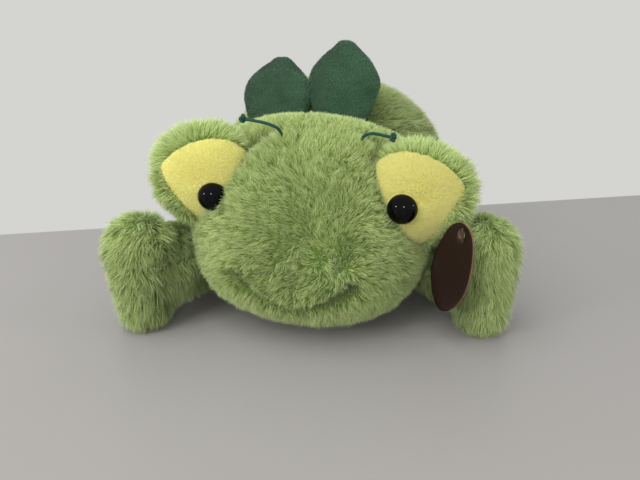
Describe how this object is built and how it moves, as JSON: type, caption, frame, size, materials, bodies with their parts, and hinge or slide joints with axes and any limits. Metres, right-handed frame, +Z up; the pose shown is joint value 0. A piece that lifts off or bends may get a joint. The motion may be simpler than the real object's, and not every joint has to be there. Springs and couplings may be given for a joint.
{
  "type": "plush praying mantis",
  "caption": "Stuffed furry praying mantis lying on its belly: wide head with lobed eyes and a smile, bent arms, leaf wings, knotted cord antennae and a blank hang tag.",
  "frame": {"origin": "on the ground, in the middle of the belly's flat resting face", "axes": "+Z up, the toy looks along -Y, its own left side is +X"},
  "size_m": [0.2168, 0.2605, 0.1555],
  "materials": {
    "fur": "long soft pile",
    "patch": "short soft pile",
    "wing_cloth": "short brushed pile",
    "cord": "twisted waxed cord",
    "thread": "sewing thread",
    "eye": "polished",
    "washer": "moulded",
    "stuffing": "loose fibre",
    "tag_card": "semi-gloss card",
    "pin_plastic": "clear nylon"
  },
  "bodies": {
    "trunk": {"body_cover": "fur", "body_stuffing": "stuffing"},
    "head": {"head_cover": "fur", "head_stuffing": "stuffing", "mouth_stitch": "thread", "tag_pin": "pin_plastic", "left_eye_lobe": "fur", "left_eye_patch": "patch", "left_lobe_stuffing": "stuffing", "left_eye": "eye", "left_eye_washer": "washer", "left_antenna": "cord", "left_antenna_knot": "cord", "right_eye_lobe": "fur", "right_eye_patch": "patch", "right_lobe_stuffing": "stuffing", "right_eye": "eye", "right_eye_washer": "washer", "right_antenna": "cord", "right_antenna_knot": "cord"},
    "left_upper_arm": {"left_upper_arm": "fur", "left_upper_arm_stuffing": "stuffing"},
    "left_forearm": {"left_forearm": "fur", "left_forearm_stuffing": "stuffing"},
    "left_wing": {"left_wing": "wing_cloth", "left_wing_stuffing": "stuffing"},
    "right_upper_arm": {"right_upper_arm": "fur", "right_upper_arm_stuffing": "stuffing"},
    "right_forearm": {"right_forearm": "fur", "right_forearm_stuffing": "stuffing"},
    "right_wing": {"right_wing": "wing_cloth", "right_wing_stuffing": "stuffing"},
    "tag": {"hang_tag": "tag_card"}
  },
  "joints": [
    {"name": "head_nod", "type": "hinge", "parent": "trunk", "child": "head", "pos_m": [0, -0.104, 0.056], "axis": [-0.9976, 0, 0.0698], "range_deg": [0, 12], "stiffness_Nm_per_rad": 0.15},
    {"name": "left_shoulder_swing", "type": "hinge", "parent": "trunk", "child": "left_upper_arm", "pos_m": [0.06314, -0.038, 0.034], "axis": [0, 0, 1], "range_deg": [0, 15], "stiffness_Nm_per_rad": 0.08},
    {"name": "left_elbow_swing", "type": "hinge", "parent": "left_upper_arm", "child": "left_forearm", "pos_m": [0.097, -0.132, 0.04701], "axis": [0, -1, 0], "range_deg": [0, 25], "stiffness_Nm_per_rad": 0.05},
    {"name": "left_wing_flap", "type": "hinge", "parent": "trunk", "child": "left_wing", "pos_m": [0.0135, -0.071, 0.1132], "axis": [-1, 0, 0], "range_deg": [-8, 10], "stiffness_Nm_per_rad": 0.03},
    {"name": "right_shoulder_swing", "type": "hinge", "parent": "trunk", "child": "right_upper_arm", "pos_m": [-0.06314, -0.038, 0.034], "axis": [0, 0, -1], "range_deg": [0, 15], "stiffness_Nm_per_rad": 0.08},
    {"name": "right_elbow_swing", "type": "hinge", "parent": "right_upper_arm", "child": "right_forearm", "pos_m": [-0.088, -0.152, 0.04701], "axis": [0, 1, 0], "range_deg": [0, 25], "stiffness_Nm_per_rad": 0.05},
    {"name": "right_wing_flap", "type": "hinge", "parent": "trunk", "child": "right_wing", "pos_m": [-0.029, -0.071, 0.10705], "axis": [-1, 0, 0], "range_deg": [-8, 10], "stiffness_Nm_per_rad": 0.03},
    {"name": "tag_swing", "type": "hinge", "parent": "head", "child": "tag", "pos_m": [0.08008, -0.15575, 0.06195], "axis": [-0.8172, -0.5736, 0.0571], "range_deg": [-12, 12]}
  ]
}
